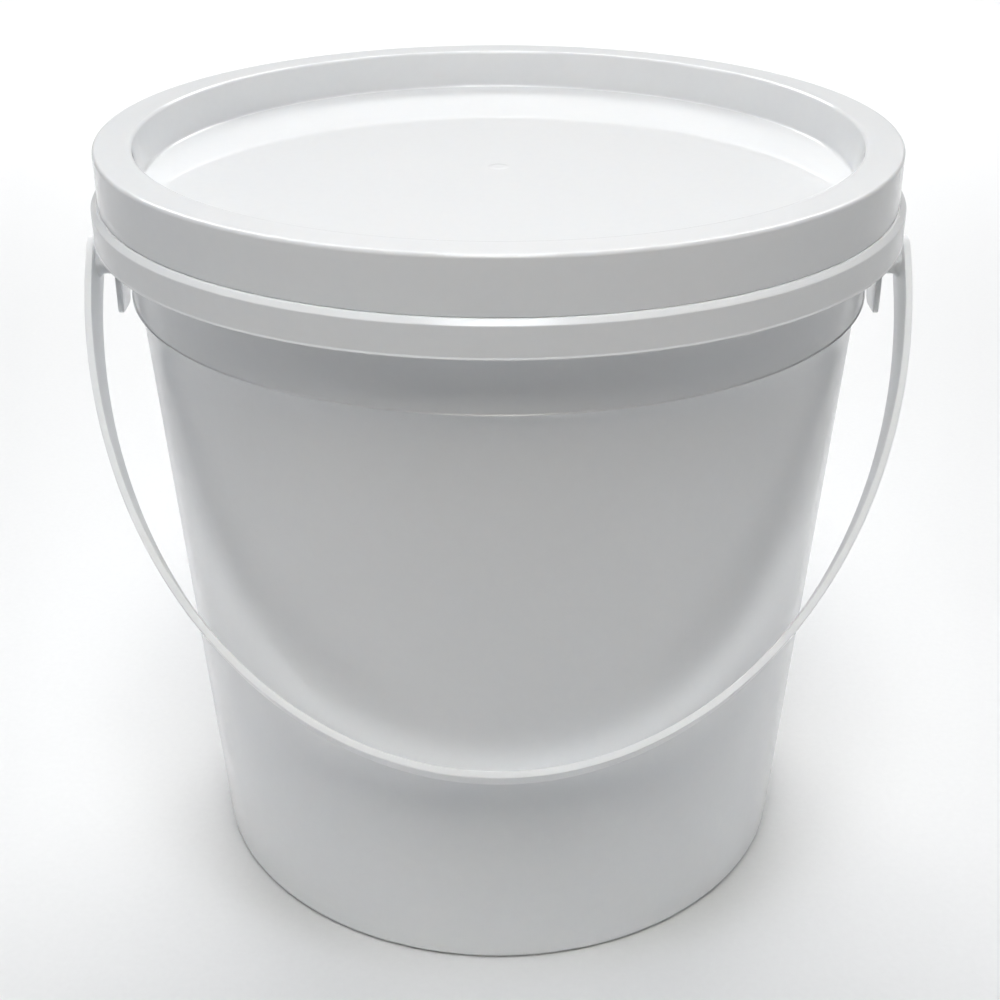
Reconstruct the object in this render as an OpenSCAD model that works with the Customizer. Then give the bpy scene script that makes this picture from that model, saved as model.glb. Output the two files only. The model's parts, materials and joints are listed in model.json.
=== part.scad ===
// Small round fermenting bucket with a push-on lid and a swinging moulded bail.
// Millimetres. +Z is up, -Y is the front, the origin is the middle of the foot's underside.

/* [Bucket] */
// Outside radius of the wall, carried down to the floor level
foot_r = 81.7; // [78:0.1:82.4]
// Widening of the wall's radius for each millimetre of height
wall_slope = 0.0675; // [0.05:0.0005:0.075]
// Thickness of the bucket's wall
wall_t = 1.9; // [1.4:0.1:2.2]
// Thickness of the floor
floor_t = 2.2; // [1.6:0.1:3]
// Height of the floor's underside above the foot ring
foot_recess = 2; // [1:0.1:3]
// Width of the foot ring
foot_ring_w = 5.2; // [4:0.1:8]
// Rounding of the foot's outer edge
foot_round = 2.3; // [1:0.1:3]

/* [Shoulder band and collar] */
// Height at which the wall starts to flare out to the shoulder band
step_low_z = 155; // [150:0.1:158]
// Height of the shoulder band's lower edge
band_low_z = 163.4; // [162:0.1:166]
// Outside radius of the shoulder band at its lower edge
band_r = 94.4; // [94:0.1:95.4]
// Depth of the small lip under the shoulder band
band_lip = 0.6; // [0.3:0.1:1]
// Outside radius of the collar
collar_r = 102.5; // [101.8:0.1:103.2]
// Height of the collar's lower edge
collar_low_z = 179.2; // [177:0.1:181]
// Height of the ledge on the collar, under the lid's skirt
ledge_z = 187.5; // [186.5:0.1:188.5]
// Thickness of the collar's skirt and of its web
collar_t = 1.8; // [1.2:0.1:2.2]
// Rounding of the ledge's outer edge
ledge_round = 1.2; // [0.6:0.1:1.6]

/* [Rim] */
// Height of the bucket's rim
rim_z = 197; // [196:0.1:198]
// Outside radius of the bead around the rim
bead_r = 97.9; // [97:0.1:98.1]
// Height of the bead
bead_h = 4.4; // [3:0.1:5]

/* [Lid] */
// Outside radius of the lid
lid_r = 100.6; // [100.4:0.1:100.8]
// Height of the lid's top
lid_top_z = 201; // [200.5:0.1:202]
// Thickness of the lid's skirt
skirt_t = 1.9; // [1.4:0.1:2.1]
// Thickness of the lid's rim, panel and inner wall
lid_t = 1.8; // [1.4:0.1:2]
// Radius of the recess at its mouth
recess_r = 91.2; // [90:0.1:91.6]
// Depth of the recessed panel below the lid's top
recess_depth = 10.2; // [8:0.1:11]
// Rounding of the lid's outer top edge
lid_edge_round = 1; // [0.8:0.1:1.6]
// Rounding where the rim turns down into the recess
mouth_round = 2; // [1:0.1:2.4]

/* [Lid gasket] */
// Inside radius of the sealing ring
gasket_inner_r = 94; // [93.6:0.1:94.2]
// Width of the sealing ring
gasket_w = 4.4; // [3:0.1:4.6]

/* [Ear lugs] */
// Distance from the bucket's axis to the outer face of each ear lug
lug_x = 100.3; // [99.6:0.1:100.6]
// Thickness of each ear lug
lug_t = 1.5; // [1.2:0.1:2]
// Width of each ear lug, from front to back
lug_w = 10; // [9.4:0.2:14]
// Height of the pivot axis
pivot_z = 165.45; // [164:0.05:168]
// Height of each ear lug's lower end
lug_low_z = 152.7; // [150:0.1:156]
// Rounding of each ear lug's lower corners
lug_round = 3; // [1:0.1:4]

/* [Handle] */
// Half the width of the bail over its arms
bail_half_w = 107.1; // [107:0.1:108]
// Distance from the pivot axis to the far edge of the bail
bail_reach = 135.8; // [135:0.1:138]
// Roundness of the bail's outline: 2 is an ellipse, and more is squarer
bail_power = 2; // [2:0.01:2.3]
// Thickness of the strap
strap_t = 2.1; // [1.6:0.1:2.2]
// Width of the strap
strap_w = 13.1; // [10:0.1:14]
// Angle by which the resting bail leans forward from straight down
rest_tilt = 43.2; // [43.1:0.1:48]
// Radius of the pivot pegs
peg_r = 3.2; // [2.6:0.1:3.4]
// Gap between a peg and its bore, on the radius
peg_gap = 0.08; // [0.02:0.01:0.1]
// Radius of the snap head on each peg
head_r = 3.9; // [3.6:0.1:4.4]

/* [Hidden] */
$fn = 96;
white = [0.93, 0.94, 0.95];
pale_grey = [0.80, 0.81, 0.82];
clearance = 0.3;
bite = 0.5;

floor_z = foot_recess + floor_t;
floor_corner = 3;
foot_ring_in = foot_r - foot_ring_w;
foot_ring_draft = 1.2;
step_in_drop = 2;
band_taper = 0.4;
neck_r = band_r + band_taper;
band_in = band_r - wall_t;
neck_in = neck_r - wall_t;
web_low_z = ledge_z - collar_t;
collar_in = collar_r - collar_t;
collar_in_round = 0.8;
collar_low_round = 0.4;
bead_low_z = rim_z - bead_h;
bead_round = 1.4;
bead_slope_low = 0.8;
bead_slope_high = 0.4;
rim_in_round = 0.7;
nub_r = 3.5;
nub_h = 0.5;

panel_z = lid_top_z - recess_depth;
recess_taper = 1.5;
recess_low_r = recess_r - recess_taper;
panel_round = 1;
under_inset = 0.4;
under_rise = 0.6;
channel_z = lid_top_z - lid_t;
skirt_low_z = ledge_z + clearance;
skirt_in = lid_r - skirt_t;
snap_bump = 0.5;
snap_half_h = 1;
snap_drop = 1.6;
snap_z = bead_low_z - snap_drop;

gasket_low_z = rim_z + clearance;
gasket_outer_r = gasket_inner_r + gasket_w;
gasket_round = 0.6;

head_t = 1.5;
arm_in_x = bail_half_w - strap_t;
lug_in_x = lug_x - lug_t;
head_in_x = lug_in_x - clearance - head_t;
bore_r = peg_r + peg_gap;
arm_turn = 20;
arm_steps = 8;
grip_steps = 48;

// Outside radius of the plain wall at a height.
function wall_r(z) = foot_r + wall_slope * z;

// Points of a round corner or fillet, from one angle to another.
function arc(x, y, r, from, to, steps = 6) =
    [for (i = [0:steps]) let (a = from + (to - from) * i / steps) [x + r * cos(a), y + r * sin(a)]];

// The hollow flare under the band, which steepens away from the plain wall up to the lip.
function shoulder_curve(steps = 8) =
    let (rise = band_low_z - step_low_z, inset = band_r - band_lip - wall_r(band_low_z))
    [for (i = [0:steps])
        let (share = i / steps, z = step_low_z + rise * share)
        [wall_r(z) + inset * share * share, z]];

// The bucket's outside, from the foot ring up to the rim.
function bucket_outside() = concat(
    [[foot_ring_in, 0]],
    arc(foot_r - foot_round, foot_round, foot_round, -90, 0),
    shoulder_curve(),
    [[band_r, band_low_z], [neck_r, web_low_z]],
    arc(collar_in - collar_in_round, web_low_z - collar_in_round, collar_in_round, 90, 0),
    [[collar_in, collar_low_z]],
    arc(collar_r - collar_low_round, collar_low_z + collar_low_round, collar_low_round, -90, 0, 3),
    arc(collar_r - ledge_round, ledge_z - ledge_round, ledge_round, 0, 90),
    [[neck_r, ledge_z]],
    [[neck_r, bead_low_z - bead_slope_low], [bead_r, bead_low_z + bead_slope_high]],
    arc(bead_r - bead_round, rim_z - bead_round, bead_round, 0, 90)
);

// The bucket's inside, from the rim down to the floor.
function bucket_inside() = concat(
    arc(neck_in + rim_in_round, rim_z - rim_in_round, rim_in_round, 90, 180),
    [[band_in, band_low_z]],
    [[wall_r(step_low_z) - wall_t, step_low_z - step_in_drop]],
    arc(wall_r(floor_z) - wall_t - floor_corner, floor_z + floor_corner, floor_corner, 0, -90),
    [[0, floor_z], [0, foot_recess], [foot_ring_in - foot_ring_draft, foot_recess]]
);

// The lid's profile, from the middle of the panel's underside and out around.
function lid_profile() = concat(
    [[0, panel_z - lid_t], [recess_low_r - under_inset, panel_z - lid_t]],
    [[recess_low_r + lid_t, panel_z + under_rise], [recess_r + lid_t, channel_z]],
    [[skirt_in, channel_z], [skirt_in, snap_z + snap_half_h], [skirt_in - snap_bump, snap_z]],
    [[skirt_in, snap_z - snap_half_h], [skirt_in, skirt_low_z], [lid_r, skirt_low_z]],
    arc(lid_r - lid_edge_round, lid_top_z - lid_edge_round, lid_edge_round, 0, 90),
    arc(recess_r + mouth_round, lid_top_z - mouth_round, mouth_round, 90, 180),
    arc(recess_low_r - panel_round, panel_z + panel_round, panel_round, 0, -90),
    [[0, panel_z]]
);

// One ear lug: a thin plate under the collar with a round bore for the peg.
module ear_lug() {
    difference() {
        translate([lug_in_x, 0, 0])
            rotate([90, 0, 90])
                linear_extrude(lug_t)
                    polygon(concat(
                        [[-lug_w / 2, web_low_z + bite]],
                        arc(-lug_w / 2 + lug_round, lug_low_z + lug_round, lug_round, 180, 270),
                        arc(lug_w / 2 - lug_round, lug_low_z + lug_round, lug_round, 270, 360),
                        [[lug_w / 2, web_low_z + bite]]
                    ));
        translate([lug_in_x - bite, 0, pivot_z])
            rotate([0, 90, 0])
                cylinder(r = bore_r, h = lug_t + 2 * bite);
    }
}

module bucket() {
    color(white) {
        rotate_extrude($fn = 180)
            polygon(concat(bucket_outside(), bucket_inside()));
        translate([0, 0, foot_recess - nub_h])
            cylinder(r = nub_r, h = nub_h + bite);
        for (side = [0, 180])
            rotate([0, 0, side])
                ear_lug();
    }
}

module lid() {
    color(white)
        rotate_extrude($fn = 180)
            polygon(lid_profile());
}

module lid_gasket() {
    color(pale_grey)
        rotate_extrude($fn = 180)
            polygon(concat(
                [[gasket_inner_r, channel_z]],
                arc(gasket_inner_r + gasket_round, gasket_low_z + gasket_round, gasket_round, 180, 270, 4),
                arc(gasket_outer_r - gasket_round, gasket_low_z + gasket_round, gasket_round, 270, 360, 4),
                [[gasket_outer_r, channel_z]]
            ));
}

// Part of the bail's outline below the pivot, as (x, reach) points of a superellipse.
function bail_curve(half_w, reach, from, to, steps) =
    [for (i = [0:steps])
        let (a = from + (to - from) * i / steps)
        [sign(cos(a)) * half_w * pow(abs(cos(a)), 2 / bail_power), -reach * pow(sin(a), 2 / bail_power)]];

// A stretch of the strap, which is flat across the bail.
module strap(from, to, steps) {
    rotate([90, 0, 0])
        linear_extrude(strap_w, center = true)
            polygon(concat(
                bail_curve(bail_half_w, bail_reach, from, to, steps),
                bail_curve(arm_in_x, bail_reach - strap_t, to, from, steps)
            ));
}

// One arm of the bail on the +X side: the strap's end, its round tip, the peg and the snap head.
module arm() {
    strap(0, arm_turn, arm_steps);
    translate([arm_in_x, 0, 0])
        rotate([0, 90, 0])
            cylinder(r = strap_w / 2, h = strap_t);
    translate([head_in_x, 0, 0])
        rotate([0, 90, 0])
            cylinder(r = peg_r, h = arm_in_x - head_in_x + bite);
    translate([head_in_x, 0, 0])
        rotate([0, 90, 0])
            cylinder(r1 = peg_r, r2 = head_r, h = head_t / 2);
    translate([head_in_x + head_t / 2, 0, 0])
        rotate([0, 90, 0])
            cylinder(r = head_r, h = head_t / 2);
}

// Puts a piece of the bail, drawn hanging straight down, at the pivot and in its resting lean.
module at_rest() {
    color(white)
        translate([0, 0, pivot_z])
            rotate([-rest_tilt, 0, 0])
                children();
}

module handle_grip() {
    at_rest()
        strap(arm_turn, 180 - arm_turn, grip_steps);
}

module handle_arm_right() {
    at_rest()
        arm();
}

module handle_arm_left() {
    at_rest()
        rotate([0, 0, 180])
            arm();
}

bucket();
lid();
lid_gasket();
handle_grip();
handle_arm_right();
handle_arm_left();
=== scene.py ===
"""Plastic fermenting bucket: the visual pieces, materials, light and camera, in metres."""
import json
import math

import bmesh
import bpy
from mathutils import Matrix, Vector


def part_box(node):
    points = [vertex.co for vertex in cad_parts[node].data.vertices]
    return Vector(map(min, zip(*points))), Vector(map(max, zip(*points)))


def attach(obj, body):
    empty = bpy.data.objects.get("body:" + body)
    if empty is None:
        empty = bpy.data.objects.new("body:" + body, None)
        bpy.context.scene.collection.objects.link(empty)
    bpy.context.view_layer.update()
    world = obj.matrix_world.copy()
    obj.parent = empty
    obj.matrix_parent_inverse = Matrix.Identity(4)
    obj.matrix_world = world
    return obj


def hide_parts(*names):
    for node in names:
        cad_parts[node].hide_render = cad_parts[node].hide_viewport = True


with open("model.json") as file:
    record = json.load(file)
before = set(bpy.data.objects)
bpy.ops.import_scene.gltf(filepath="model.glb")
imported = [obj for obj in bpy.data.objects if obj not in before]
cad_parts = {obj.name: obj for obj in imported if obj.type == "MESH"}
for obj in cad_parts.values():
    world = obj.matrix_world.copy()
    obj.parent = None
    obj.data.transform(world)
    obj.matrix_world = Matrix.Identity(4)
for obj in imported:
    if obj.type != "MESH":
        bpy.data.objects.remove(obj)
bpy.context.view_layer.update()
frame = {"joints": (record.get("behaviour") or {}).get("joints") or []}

MM = 0.001

# ---------------------------------------------------------------- sizes
# The frame gives the sizes that it has, and the rest are part.scad's, apart from the seen edges.
bucket_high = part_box("bucket")[1]
lid_low, lid_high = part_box("lid")
gasket_low, gasket_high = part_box("lid_gasket")
arm_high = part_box("handle_arm_right")[1]
hinge = next(j for j in frame["joints"] if j["name"] == "handle_swing")
pivot_z = hinge["pos_m"][2]

ROUND_STEPS = 288
PEG_STEPS = 48
ARC_STEP = math.radians(11)
SMOOTH_ANGLE = math.radians(32)
EDGE_HOLD = 0.15 * MM  # from a corner to the first point on its flat, to shade it flat
LONGEST_FLAT = 6 * MM
TOUCHING = 1e-7
ON_AXIS = 1e-9

FOOT_R = 81.7 * MM
WALL_SLOPE = 0.0675
WALL_T = 1.9 * MM
FLOOR_T = 2.2 * MM
FOOT_RECESS = 2.0 * MM
FOOT_RING_W = 5.2 * MM
SHOULDER_LOW_Z = 155.0 * MM
BAND_LOW_Z = 163.4 * MM
BAND_R = 94.4 * MM
BAND_LIP = 0.6 * MM
NECK_R = 94.8 * MM
COLLAR_R = max(bucket_high.x, bucket_high.y)
COLLAR_LOW_Z = 179.2 * MM
COLLAR_T = 1.8 * MM
RIM_Z = bucket_high.z
BEAD_R = 97.9 * MM
BEAD_H = 4.4 * MM

LID_R = lid_high.x
LID_TOP_Z = lid_high.z
SKIRT_LOW_Z = lid_low.z
LEDGE_Z = SKIRT_LOW_Z - 0.3 * MM
SEEN_LEDGE_Z = SKIRT_LOW_Z - 0.06 * MM  # nearly closed, because no gap shows there
EDGE_STEP = 0.15 * MM  # how far the line along the collar's lower edge stands out
BAND_RIDGE = 0.27 * MM  # the same for the band's
SKIRT_T = 1.9 * MM
LID_T = 1.8 * MM
RECESS_R = 91.2 * MM
RECESS_LOW_R = 89.7 * MM
PANEL_Z = LID_TOP_Z - 10.2 * MM
GASKET_INNER_R = 94.0 * MM

LUG_X = 100.3 * MM
LUG_T = 1.5 * MM
LUG_W = 10 * MM
LUG_LOW_Z = 152.7 * MM
LUG_BACK_ROUND = 3.0 * MM
LUG_FRONT_ROUND = 1.0 * MM
LUG_EDGE = 0.35 * MM
LUG_CORNER_STEPS = 8
LUG_EDGE_STEPS = 4
LUG_POINTS = 96
BORE_R = 3.28 * MM
BORE_EDGE = 0.2 * MM

BAIL_HALF_W = arm_high.x
BAIL_REACH = 135.8 * MM
BAIL_POWER = 2.0
STRAP_T = 2.1 * MM
STRAP_W = 13.1 * MM
STRAP_BORDER = 0.35 * MM  # the rounding of the strap's edges
STRAP_CROWN = 0.12 * MM  # how much lower each face is at its border than in its middle
CROWN_SHARE = 0.3  # the share of the width, from the border in, over which that happens
FACE_SHARES = (0.46, 0.3, 0.15)  # shares of the width where each face has a line of points
BORDER_STEPS = 6
TIP_SHAPE = 0.72  # 1 is a half circle, and less is squarer
REST_TILT = math.radians(43.2)
PEG_R = 3.2 * MM
HEAD_R = 3.9 * MM
HEAD_T = 1.5 * MM
RUN_GAP = 0.3 * MM


# ---------------------------------------------------------------- mesh code
def rounded(corners):
    """A smooth line through (r, z, fillet radius) corners, ready to be revolved."""
    line = []
    last = len(corners) - 1
    for i, (r, z, fillet) in enumerate(corners):
        here = Vector((r, z))
        if i in (0, last) or fillet == 0:
            line.append(here)
            continue
        back = (Vector(corners[i - 1][:2]) - here).normalized()
        ahead = (Vector(corners[i + 1][:2]) - here).normalized()
        half = back.angle(ahead) / 2
        reach = fillet / math.tan(half)
        centre = here + (back + ahead).normalized() * (fillet / math.sin(half))
        start = here + back * reach - centre
        turn = start.angle_signed(here + ahead * reach - centre)
        steps = max(3, math.ceil(abs(turn) / ARC_STEP))
        for k in range(steps + 1):
            line.append(centre + Matrix.Rotation(-turn * k / steps, 2) @ start)
    return spaced(line)


def spaced(line):
    """The line with a point near both ends of every long flat, and the flats cut evenly."""
    out = [line[0]]
    for a, b in zip(line, line[1:]):
        length = (b - a).length
        if length < TOUCHING:
            continue
        if length > 6 * EDGE_HOLD:
            parts = max(1, round(length / LONGEST_FLAT))
            middle = [length * k / parts for k in range(1, parts)]
            cuts = [EDGE_HOLD] + middle + [length - EDGE_HOLD]
            out += [a.lerp(b, c / length) for c in cuts]
        out.append(b)
    return out


def finish_mesh(name, bm):
    """A smooth-shaded object from a bmesh, with its normals facing out."""
    bmesh.ops.remove_doubles(bm, verts=bm.verts, dist=TOUCHING)
    bmesh.ops.recalc_face_normals(bm, faces=bm.faces)
    mesh = bpy.data.meshes.new(name)
    bm.to_mesh(mesh)
    bm.free()
    mesh.shade_smooth()
    mesh.set_sharp_from_angle(angle=SMOOTH_ANGLE)
    piece = bpy.data.objects.new(name, mesh)
    bpy.context.scene.collection.objects.link(piece)
    return piece


def revolve(name, line, steps=ROUND_STEPS, place=None):
    """A solid of revolution about Z from (r, z) points, closed if both ends are off the axis."""
    bm = bmesh.new()
    rings = []
    for p in line:
        if p.x < ON_AXIS:
            rings.append([bm.verts.new((0, 0, p.y))])
            continue
        ring = []
        for k in range(steps):
            a = 2 * math.pi * k / steps
            ring.append(bm.verts.new((p.x * math.sin(a), -p.x * math.cos(a), p.y)))
        rings.append(ring)
    if line[0].x > ON_AXIS and line[-1].x > ON_AXIS:
        rings.append(rings[0])
    for lower, upper in zip(rings, rings[1:]):
        for k in range(steps):
            n = (k + 1) % steps
            below = [lower[k % len(lower)], lower[n % len(lower)]]
            above = [upper[n % len(upper)], upper[k % len(upper)]]
            corners = list(dict.fromkeys(below + above))
            if len(corners) > 2:
                bm.faces.new(corners)
    if place is not None:
        bmesh.ops.transform(bm, matrix=place, verts=bm.verts)
    return finish_mesh(name, bm)


def loft(name, loops, place=None):
    """A closed skin over a ring of closed loops, each with the same number of points."""
    bm = bmesh.new()
    rows = [[bm.verts.new(p) for p in loop] for loop in loops]
    for a, b in zip(rows, rows[1:] + rows[:1]):
        for k in range(len(a)):
            n = (k + 1) % len(a)
            bm.faces.new((a[k], a[n], b[n], b[k]))
    if place is not None:
        bmesh.ops.transform(bm, matrix=place, verts=bm.verts)
    return finish_mesh(name, bm)


# ---------------------------------------------------------------- bucket
def wall_r(z):
    return FOOT_R + WALL_SLOPE * z


def shoulder():
    """The hollow flare below the band, as points from the plain wall up to the lip."""
    rise = BAND_LOW_Z - SHOULDER_LOW_Z
    inset = BAND_R - BAND_LIP - wall_r(BAND_LOW_Z)
    steps = 10
    points = []
    for k in range(steps + 1):
        share = k / steps
        z = SHOULDER_LOW_Z + rise * share
        points.append((wall_r(z) + inset * share * share, z, 0))
    points[-1] = (*points[-1][:2], 0.1 * MM)
    return points


def bucket_line():
    """The bucket's profile: its outside from the floor's middle up, then its inside down."""
    floor_z = FOOT_RECESS + FLOOR_T
    web_z = LEDGE_Z - COLLAR_T
    collar_in = COLLAR_R - COLLAR_T
    ring_in = FOOT_R - FOOT_RING_W
    nub_r, nub_h = 3.5 * MM, 0.5 * MM
    outside = [
        (0, FOOT_RECESS - nub_h, 0),
        (nub_r, FOOT_RECESS - nub_h, 0.2 * MM),
        (nub_r, FOOT_RECESS, 0.2 * MM),
        (ring_in - 1.2 * MM, FOOT_RECESS, 0.8 * MM),
        (ring_in, 0, 0.5 * MM),
        (FOOT_R, 0, 2.3 * MM),
    ]
    collar = [
        (BAND_R + BAND_RIDGE, BAND_LOW_Z, 0.08 * MM),
        (BAND_R + BAND_RIDGE, BAND_LOW_Z + 0.1 * MM, 0.06 * MM),
        (BAND_R, BAND_LOW_Z + 0.4 * MM, 0.1 * MM),
        (NECK_R, web_z, 0.8 * MM),
        (collar_in, web_z, 0.8 * MM),
        (collar_in, COLLAR_LOW_Z, 0.3 * MM),
        (COLLAR_R, COLLAR_LOW_Z, 0.2 * MM),
        (COLLAR_R, COLLAR_LOW_Z + 0.3 * MM, 0.1 * MM),
        (COLLAR_R - EDGE_STEP, COLLAR_LOW_Z + 0.65 * MM, 0.15 * MM),
        (COLLAR_R - EDGE_STEP, SEEN_LEDGE_Z - 1.05 * MM, 0.4 * MM),
        (COLLAR_R - 1.5 * MM, SEEN_LEDGE_Z, 0.5 * MM),
        (NECK_R, SEEN_LEDGE_Z, 0.5 * MM),
        (NECK_R, RIM_Z - BEAD_H - 0.8 * MM, 0.8 * MM),
        (BEAD_R, RIM_Z - BEAD_H + 0.4 * MM, 0.8 * MM),
        (BEAD_R, RIM_Z, 1.4 * MM),
    ]
    inside = [
        (NECK_R - WALL_T, RIM_Z, 0.7 * MM),
        (BAND_R - WALL_T, BAND_LOW_Z, 3 * MM),
        (wall_r(SHOULDER_LOW_Z) - WALL_T, SHOULDER_LOW_Z - 2 * MM, 6 * MM),
        (wall_r(floor_z) - WALL_T, floor_z, 3 * MM),
        (0, floor_z, 0),
    ]
    return rounded(outside + shoulder() + collar + inside)


def lug_loop(grow, x, lug_side):
    """The lug's outline, grown outward, as a loop of points about the bore, at one X."""
    half, top = LUG_W / 2 + grow, LEDGE_Z - COLLAR_T / 2
    low = LUG_LOW_Z - grow
    line = [Vector((-half, top))]
    for side, start in ((-1, math.pi), (1, 1.5 * math.pi)):
        corner = (LUG_FRONT_ROUND if side == -lug_side else LUG_BACK_ROUND) + grow
        for k in range(LUG_CORNER_STEPS + 1):
            a = start + math.pi / 2 * k / LUG_CORNER_STEPS
            centre = Vector((side * (half - corner), low + corner))
            line.append(centre + corner * Vector((math.cos(a), math.sin(a))))
    line.append(Vector((half, top)))
    return [(x, p.x, p.y) for p in even(line, LUG_POINTS)]


def even(line, count):
    """A closed line resampled to evenly spaced points, keeping its shape."""
    closed = line + line[:1]
    lengths = [(b - a).length for a, b in zip(closed, closed[1:])]
    total, out = sum(lengths), []
    for k in range(count):
        left = total * k / count
        for a, b, length in zip(closed, closed[1:], lengths):
            if left <= length:
                out.append(a.lerp(b, left / length))
                break
            left -= length
    return out


def bore_loop(grow, x, outline):
    """The bore's edge at one X, with its points at the same angles as an outline's."""
    loop = []
    for _, y, z in outline:
        a = math.atan2(z - pivot_z, y)
        loop.append((x, (BORE_R + grow) * math.cos(a), pivot_z + (BORE_R + grow) * math.sin(a)))
    return loop


def make_lug(name, side):
    """A thin plate that hangs from the collar, with rounded edges and a round bore for the peg."""
    outer, inner = LUG_X, LUG_X - LUG_T
    outline = lug_loop(0, outer, side)
    arc = [math.pi / 2 * k / LUG_EDGE_STEPS for k in range(LUG_EDGE_STEPS + 1)]

    def edge_loop(back, x):
        return lug_loop(-LUG_EDGE * back, x, side)

    def face_loop(x, share):
        """A loop on a flat face, at a share of the way from its border to the bore."""
        wide, near = edge_loop(1, x), bore_loop(LUG_EDGE, x, outline)
        return [Vector(w).lerp(Vector(n), share) for w, n in zip(wide, near)]

    loops = [edge_loop(1 - math.sin(a), outer - LUG_EDGE * (1 - math.cos(a))) for a in arc]
    loops += [edge_loop(1 - math.cos(a), inner + LUG_EDGE * (1 - math.sin(a))) for a in arc]
    loops += [face_loop(inner, share) for share in (0.4, 0.8)]
    for grow, x in (
        (BORE_EDGE, inner),
        (0, inner + BORE_EDGE),
        (0, outer - BORE_EDGE),
        (BORE_EDGE, outer),
    ):
        loops.append(bore_loop(grow, x, outline))
    loops += [face_loop(outer, share) for share in (0.8, 0.4)]
    turn = Matrix.Rotation(0 if side > 0 else math.pi, 4, "Z")
    return loft(name, loops, turn)


# ---------------------------------------------------------------- lid and gasket
def lid_line():
    """The lid's profile, from the middle of the panel's underside and out around."""
    channel_z = LID_TOP_Z - LID_T
    skirt_in = LID_R - SKIRT_T
    snap_z = RIM_Z - BEAD_H - 1.6 * MM
    nub_r, nub_h = 1.6 * MM, 0.1 * MM
    return rounded([
        (0, PANEL_Z - LID_T, 0),
        (RECESS_LOW_R - 0.4 * MM, PANEL_Z - LID_T, 0.5 * MM),
        (RECESS_LOW_R + LID_T, PANEL_Z + 0.6 * MM, 0.8 * MM),
        (RECESS_R + LID_T, channel_z, 0.6 * MM),
        (skirt_in, channel_z, 0.6 * MM),
        (skirt_in, snap_z + 1 * MM, 0.3 * MM),
        (skirt_in - 0.5 * MM, snap_z, 0.4 * MM),
        (skirt_in, snap_z - 1 * MM, 0.3 * MM),
        (skirt_in, SKIRT_LOW_Z, 0.25 * MM),
        (LID_R, SKIRT_LOW_Z, 0.3 * MM),
        (LID_R, LID_TOP_Z, 0.8 * MM),
        (RECESS_R, LID_TOP_Z, 0.9 * MM),
        (RECESS_LOW_R, PANEL_Z, 0.7 * MM),
        (nub_r + 1.2 * MM, PANEL_Z, 0.8 * MM),
        (nub_r, PANEL_Z + nub_h, 0.4 * MM),
        (0, PANEL_Z + nub_h, 0),
    ])


def gasket_line():
    """The sealing ring's profile, with its two lower corners round."""
    fillet = 0.6 * MM
    return rounded([
        (GASKET_INNER_R, gasket_high.z, 0),
        (GASKET_INNER_R, gasket_low.z, fillet),
        (gasket_high.x, gasket_low.z, fillet),
        (gasket_high.x, gasket_high.z, 0),
    ])


# ---------------------------------------------------------------- handle
def bail_point(half_w, reach, turn):
    """A point (x, reach) of the bail's superellipse, from the +X arm at 0 to the -X arm at pi."""
    c, s = math.cos(turn), math.sin(turn)
    x = math.copysign(abs(c) ** (2 / BAIL_POWER), c) * half_w
    return Vector((x, abs(s) ** (2 / BAIL_POWER) * reach))


def strap_stations(count=220):
    """The strap's middle line from pivot to pivot: (middle, across, half thickness)."""
    out = []
    for k in range(count + 1):
        turn = math.pi * k / count
        outer = bail_point(BAIL_HALF_W, BAIL_REACH, turn)
        inner = bail_point(BAIL_HALF_W - STRAP_T, BAIL_REACH - STRAP_T, turn)
        across = outer - inner
        out.append(((outer + inner) / 2, across.normalized(), across.length / 2))
    return out


def strap_ring(inset, lift, stations, end_steps=10):
    """A loop of the strap's skin, inset from its border; lift is a share of half its thickness."""
    half = STRAP_W / 2 - inset
    ring = []

    def add(middle, across, thick, v):
        p = middle + across * (thick * lift)
        ring.append((p.x, v, -p.y))

    for middle, across, thick in stations:
        add(middle, across, thick, half)
    for end, direction in ((stations[-1], 1), (stations[0], -1)):
        middle, across, thick = end
        for k in range(1, 2 * end_steps):
            a = math.pi * k / (2 * end_steps)
            back = Vector((0, -half * math.sin(a) ** TIP_SHAPE))
            v = math.copysign(abs(math.cos(a)) ** TIP_SHAPE, math.cos(a))
            add(middle + back, across, thick, direction * half * v)
        if direction > 0:
            for m, c, t in reversed(stations):
                add(m, c, t, -half)
    return ring


def make_strap():
    """The bail's flat strap: two skins with a rounded border, and a rounded end at each arm."""
    stations = strap_stations()
    half_t = STRAP_T / 2
    flat = (half_t - STRAP_BORDER) / half_t
    crown = STRAP_CROWN / half_t
    face = []
    for inset in [STRAP_W * share for share in FACE_SHARES] + [STRAP_BORDER + 0.2 * MM]:
        face.append((inset, 1 - crown * (1 - min(1, inset / (STRAP_W * CROWN_SHARE)))))
    edge = []
    for k in range(BORDER_STEPS, -1, -1):
        a = math.pi / 2 * k / BORDER_STEPS
        lift = flat + (1 - flat) * math.sin(a)
        edge.append((STRAP_BORDER * (1 - math.cos(a)), lift * (1 - crown) if lift > flat else lift))
    loops = face + edge
    outer = [strap_ring(inset, lift, stations) for inset, lift in loops]
    inner = [strap_ring(inset, -lift, stations) for inset, lift in reversed(loops)]
    bm = bmesh.new()
    rows = [[bm.verts.new(p) for p in loop] for loop in outer + inner]
    for a, b in zip(rows, rows[1:]):
        for k in range(len(a)):
            n = (k + 1) % len(a)
            bm.faces.new((a[k], a[n], b[n], b[k]))
    close_middle(bm, rows[0], len(stations))
    close_middle(bm, rows[-1], len(stations))
    bmesh.ops.transform(bm, matrix=bail_place(), verts=bm.verts)
    return finish_mesh("handle_strap", bm)


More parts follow.
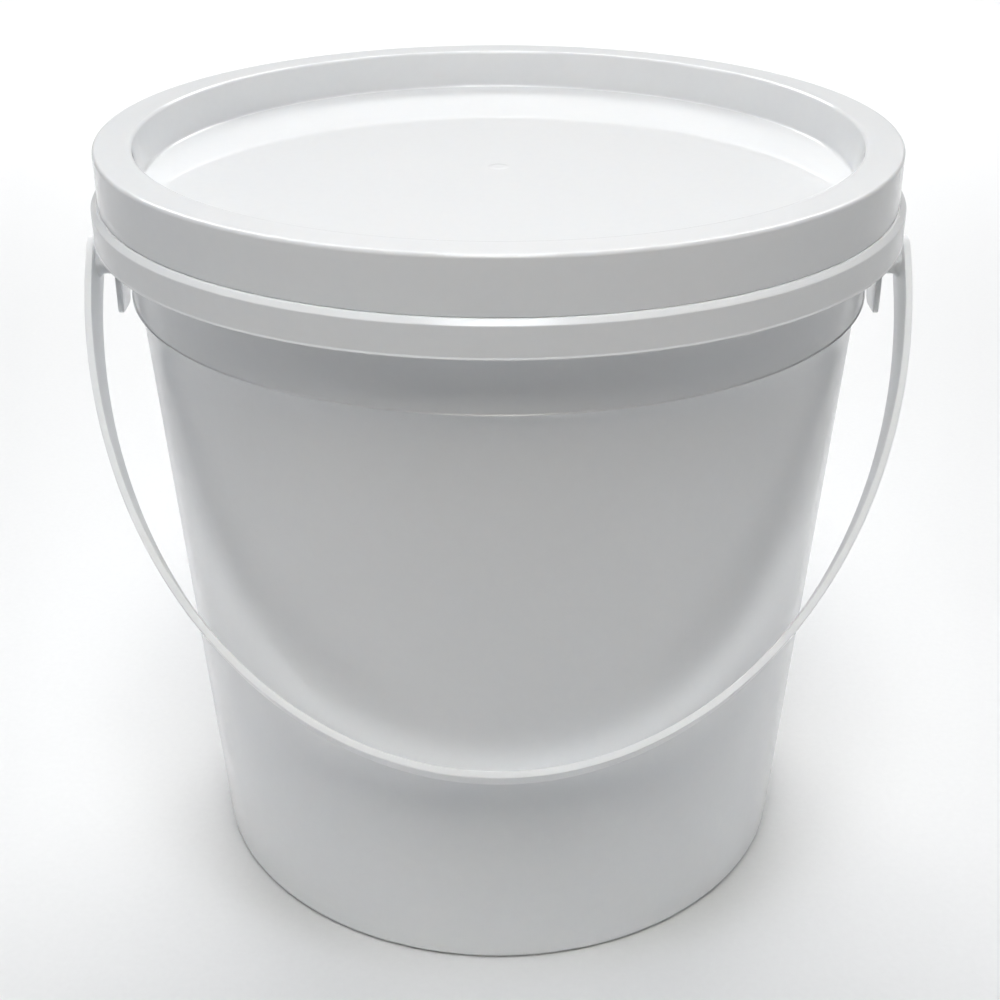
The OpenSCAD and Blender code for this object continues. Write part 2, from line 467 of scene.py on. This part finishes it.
def close_middle(bm, ring, count):
    """Closes the narrow slot left along the strap's middle line, with one face at each end."""
    ends = (len(ring) - 2 * count) // 2
    far_side = ring[count + ends:count + ends + count]
    near_side = ring[:count]
    for k in range(count - 1):
        across = far_side[count - 2 - k], far_side[count - 1 - k]
        bm.faces.new((near_side[k], near_side[k + 1], *across))
    bm.faces.new([near_side[-1]] + ring[count:count + ends] + [far_side[0]])
    bm.faces.new([far_side[-1]] + ring[2 * count + ends:] + [near_side[0]])


def bail_place():
    """Takes the bail from hanging straight down at the origin to its resting place."""
    return Matrix.Translation((0, 0, pivot_z)) @ Matrix.Rotation(-REST_TILT, 4, "X")


def make_peg(name, side):
    """A pivot peg from the arm through the ear lug, with a snap head behind the lug."""
    arm_in = BAIL_HALF_W - STRAP_T
    head_out = LUG_X - LUG_T - RUN_GAP
    line = rounded([
        (0, arm_in + 0.5 * MM, 0),
        (PEG_R + 1.0 * MM, arm_in + 0.5 * MM, 0),
        (PEG_R + 1.0 * MM, arm_in - 0.05 * MM, 0),
        (PEG_R, arm_in - 0.9 * MM, 0.6 * MM),
        (PEG_R, head_out, 0.1 * MM),
        (HEAD_R, head_out, 0.25 * MM),
        (HEAD_R, head_out - HEAD_T / 2, 0.3 * MM),
        (PEG_R, head_out - HEAD_T, 0.3 * MM),
        (0, head_out - HEAD_T, 0),
    ])
    along_x = Matrix.Rotation(math.pi / 2 * side, 4, "Y")
    return revolve(name, line, PEG_STEPS, Matrix.Translation((0, 0, pivot_z)) @ along_x)


# ---------------------------------------------------------------- materials
class Nodes:
    """A short way to write a material's nodes."""

    def __init__(self, name):
        self.material = bpy.data.materials.new(name)
        self.material.use_nodes = True
        self.tree = self.material.node_tree
        self.shader = self.tree.nodes["Principled BSDF"]
        self.where = self.add("ShaderNodeTexCoord").outputs["Object"]

    def add(self, kind, inputs=None, **settings):
        node = self.tree.nodes.new(kind)
        for key, value in settings.items():
            setattr(node, key, value)
        for key, value in (inputs or {}).items():
            if isinstance(value, bpy.types.NodeSocket):
                self.tree.links.new(value, node.inputs[key])
            else:
                node.inputs[key].default_value = value
        return node

    def link(self, output, socket):
        self.tree.links.new(output, self.shader.inputs[socket])

    def scaled(self, x, y, z):
        """The object's own coordinates, stretched."""
        return self.add("ShaderNodeMapping", {"Vector": self.where, "Scale": (x, y, z)}).outputs[0]

    def noise(self, scale, detail=2.0, rough=0.5, where=None):
        inputs = {"Vector": where or self.where, "Scale": scale}
        inputs |= {"Detail": detail, "Roughness": rough}
        return self.add("ShaderNodeTexNoise", inputs).outputs["Fac"]

    def spread(self, value, low, high, to_low=0.0, to_high=1.0):
        inputs = {"Value": value, "From Min": low, "From Max": high}
        inputs |= {"To Min": to_low, "To Max": to_high}
        return self.add("ShaderNodeMapRange", inputs).outputs["Result"]

    def math(self, operation, a, b=0.0):
        return self.add("ShaderNodeMath", {0: a, 1: b}, operation=operation).outputs[0]

    def mix(self, factor, a, b):
        node = self.add("ShaderNodeMix", data_type="RGBA")
        for key, value in ((0, factor), (6, a), (7, b)):
            if isinstance(value, bpy.types.NodeSocket):
                self.tree.links.new(value, node.inputs[key])
            else:
                node.inputs[key].default_value = value
        return node.outputs[2]

    def bump(self, height, distance, strength, normal=None):
        inputs = {"Height": height, "Distance": distance, "Strength": strength}
        if normal is not None:
            inputs["Normal"] = normal
        return self.add("ShaderNodeBump", inputs).outputs[0]


def moulded_plastic(name, tint, roughness, peel=0.5, soft=0.12):
    """White moulded polyolefin: cloudiness, orange peel, rare specks, scuffs and worn edges."""
    n = Nodes(name)

    # cloudiness and fine grain in the colour
    cloud = n.spread(n.noise(9, 3, 0.55), 0.35, 0.65)
    grain = n.spread(n.noise(420, 2, 0.6), 0.3, 0.7)
    base = (*tint, 1)
    cooler = (tint[0] * 0.975, tint[1] * 0.985, tint[2] * 0.995, 1)
    paler = (*(min(1, channel * 1.03) for channel in tint), 1)
    colour = n.mix(cloud, base, cooler)
    colour = n.mix(n.math("MULTIPLY", grain, 0.25), colour, paler)

    # rare dark specks, in about a tenth of the cells
    cells = n.add("ShaderNodeTexVoronoi", {"Vector": n.where, "Scale": 26.0})
    rare = n.add("ShaderNodeSeparateColor", {0: cells.outputs["Color"]}).outputs[0]
    dot = n.math("LESS_THAN", cells.outputs["Distance"], 0.011)
    speck = n.math("MULTIPLY", dot, n.math("GREATER_THAN", rare, 0.9))
    colour = n.mix(n.math("MULTIPLY", speck, 0.75), colour, (0.16, 0.15, 0.13, 1))

    # paler, duller wear on the outer edges
    edge = n.spread(n.add("ShaderNodeNewGeometry").outputs["Pointiness"], 0.52, 0.6)
    wear = n.math("MULTIPLY", edge, n.spread(n.noise(60, 4, 0.65), 0.45, 0.62))
    colour = n.mix(n.math("MULTIPLY", wear, 0.3), colour, paler)
    n.link(colour, "Base Color")

    # gloss that changes in upright streaks
    streaks = n.noise(34, 4, 0.6, n.scaled(1, 1, 0.35))
    smear = n.spread(streaks, 0.3, 0.75, roughness * 0.8, roughness * 1.3)
    dull = n.math("ADD", smear, n.math("MULTIPLY", wear, 0.12))
    n.link(dull, "Roughness")

    # orange peel, then a fine skin, then patches of upright scuffs
    waves = n.bump(n.noise(70, 2, 0.5), 0.00012, 0.35 * peel)
    skin = n.bump(n.noise(1500, 2, 0.5), 0.00002, 0.5 * peel, waves)
    scuff_mask = n.spread(n.noise(22, 2), 0.55, 0.7)
    scuff = n.math("MULTIPLY", n.noise(900, 1, 0.4, n.scaled(1, 1, 0.05)), scuff_mask)
    n.link(n.bump(scuff, 0.00001, 0.4, skin), "Normal")

    n.shader.inputs["IOR"].default_value = 1.51
    n.shader.inputs["Subsurface Weight"].default_value = soft
    n.shader.inputs["Subsurface Radius"].default_value = (1.0, 0.9, 0.8)
    n.shader.inputs["Subsurface Scale"].default_value = 0.0025
    return n.material


def rubber(name):
    """Soft pale elastomer with a dusty matt skin."""
    n = Nodes(name)
    dust = n.spread(n.noise(120, 4, 0.7), 0.4, 0.7)
    n.link(n.mix(dust, (0.62, 0.63, 0.63, 1), (0.72, 0.72, 0.71, 1)), "Base Color")
    n.link(n.spread(n.noise(300, 2), 0.3, 0.7, 0.62, 0.8), "Roughness")
    n.link(n.bump(n.noise(2200, 3), 0.00003, 0.5), "Normal")
    return n.material


def floor_paper(name):
    """Plain white paper sweep with a faint grain."""
    n = Nodes(name)
    grain = n.noise(500, 3, 0.6)
    n.link(n.mix(grain, (0.83, 0.835, 0.84, 1), (0.87, 0.875, 0.88, 1)), "Base Color")
    n.link(n.spread(n.noise(40, 2), 0.3, 0.7, 0.75, 0.85), "Roughness")
    n.shader.inputs["Specular IOR Level"].default_value = 0.2
    return n.material


# ---------------------------------------------------------------- the object
WHITE = (0.94, 0.945, 0.95)
bucket_plastic = moulded_plastic("bucket_plastic", WHITE, 0.2)
lid_plastic = moulded_plastic("lid_plastic", WHITE, 0.03, peel=0.04)
handle_plastic = moulded_plastic("handle_plastic", (0.965, 0.968, 0.97), 0.42)
gasket_rubber = rubber("gasket_rubber")


def dress(piece, material, body, slot, *nodes):
    """Gives a piece its material, the body that it rides on and the CAD nodes that it replaces."""
    piece.data.materials.append(material)
    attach(piece, body)
    if nodes:
        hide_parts(*nodes)


dress(revolve("bucket_shell", bucket_line()), bucket_plastic, "bucket", "bucket_plastic", "bucket")
dress(make_lug("ear_lug_right", 1), bucket_plastic, "bucket", "bucket_plastic")
dress(make_lug("ear_lug_left", -1), bucket_plastic, "bucket", "bucket_plastic")
dress(revolve("lid_shell", lid_line()), lid_plastic, "lid", "lid_plastic", "lid")
dress(revolve("lid_seal_ring", gasket_line()), gasket_rubber, "lid", "gasket_rubber", "lid_gasket")
handle_nodes = ("handle_grip", "handle_arm_right", "handle_arm_left")
dress(make_strap(), handle_plastic, "handle", "handle_plastic", *handle_nodes)
dress(make_peg("handle_peg_right", 1), handle_plastic, "handle", "handle_plastic")
dress(make_peg("handle_peg_left", -1), handle_plastic, "handle", "handle_plastic")


# ---------------------------------------------------------------- floor, light and camera
WARM = (1.0, 0.97, 0.9)
COOL = (0.94, 0.98, 1.05)


def make_floor(half=4.0):
    """A plain pale floor, far larger than the view."""
    bm = bmesh.new()
    corners = [(-half, -half), (half, -half), (half, half), (-half, half)]
    bm.faces.new([bm.verts.new((x, y, 0)) for x, y in corners])
    floor = finish_mesh("floor", bm)
    floor.data.materials.append(floor_paper("floor_paper"))


def softbox(name, place, aim, size, watts, spread=180, colour=(1, 1, 1)):
    """A rectangular lamp; a spread below 180 degrees narrows its beam, as a grid does."""
    light = bpy.data.lights.new(name, "AREA")
    light.shape = "RECTANGLE"
    light.spread = math.radians(spread)
    light.size, light.size_y = size
    light.energy = watts
    light.color = colour
    lamp = bpy.data.objects.new(name, light)
    lamp.location = place
    lamp.rotation_euler = (Vector(aim) - Vector(place)).to_track_quat("-Z", "Y").to_euler()
    bpy.context.scene.collection.objects.link(lamp)


def make_world():
    """A dim even studio with a pale band along the horizon."""
    world = bpy.data.worlds.new("studio")
    bpy.context.scene.world = world
    world.use_nodes = True
    tree = world.node_tree
    back = tree.nodes["Background"]
    where = tree.nodes.new("ShaderNodeTexCoord")
    split = tree.nodes.new("ShaderNodeSeparateXYZ")
    ramp = tree.nodes.new("ShaderNodeValToRGB")
    tree.links.new(where.outputs["Generated"], split.inputs[0])
    tree.links.new(split.outputs["Z"], ramp.inputs[0])
    tree.links.new(ramp.outputs[0], back.inputs[0])
    for element, position, tone in zip(ramp.color_ramp.elements, (0, 0.1), (1, 0.28)):
        element.position = position
        element.color = (tone, tone, tone, 1)
    back.inputs[1].default_value = 0.33


def make_camera():
    """A camera at the photograph's viewing angle: close, above the lid and looking down."""
    camera = bpy.data.cameras.new("camera")
    camera.lens = 57.95
    camera.shift_x = 0.0015
    camera.clip_start = 0.02
    stand = bpy.data.objects.new("camera", camera)
    stand.location = (0, -0.40528, 0.3037)
    stand.rotation_euler = (math.radians(90 - 27.27), 0, 0)
    bpy.context.scene.collection.objects.link(stand)
    bpy.context.scene.camera = stand


make_floor()
make_world()
softbox("front", (0, -0.66, 1.35), (0, -0.02, 0.12), (0.5, 0.5), 0.455, 40, WARM)
softbox("overhead", (0, -0.34, 1.5), (0, -0.02, 0.12), (0.5, 0.5), 0.39, 40, COOL)
softbox("backdrop", (0, 1.9, 0.7), (0, 0, 0.3), (2.6, 1.4), 2.2, 180)
softbox("back", (0, 1.15, 1.1), (0, 0.45, 0), (1.6, 0.5), 3.4, 90)
softbox("far_back", (0, 1.6, 1.3), (0, 1.4, 0), (2.2, 0.6), 18, 140)
softbox("window_left", (-1.1, -0.3, 0.9), (0, 0, 0.1), (0.5, 0.7), 1.2, 180, COOL)
softbox("window_right", (1.1, -0.3, 0.9), (0, 0, 0.1), (0.5, 0.7), 0.4, 180, COOL)
make_camera()
bpy.context.scene.view_settings.view_transform = "Standard"
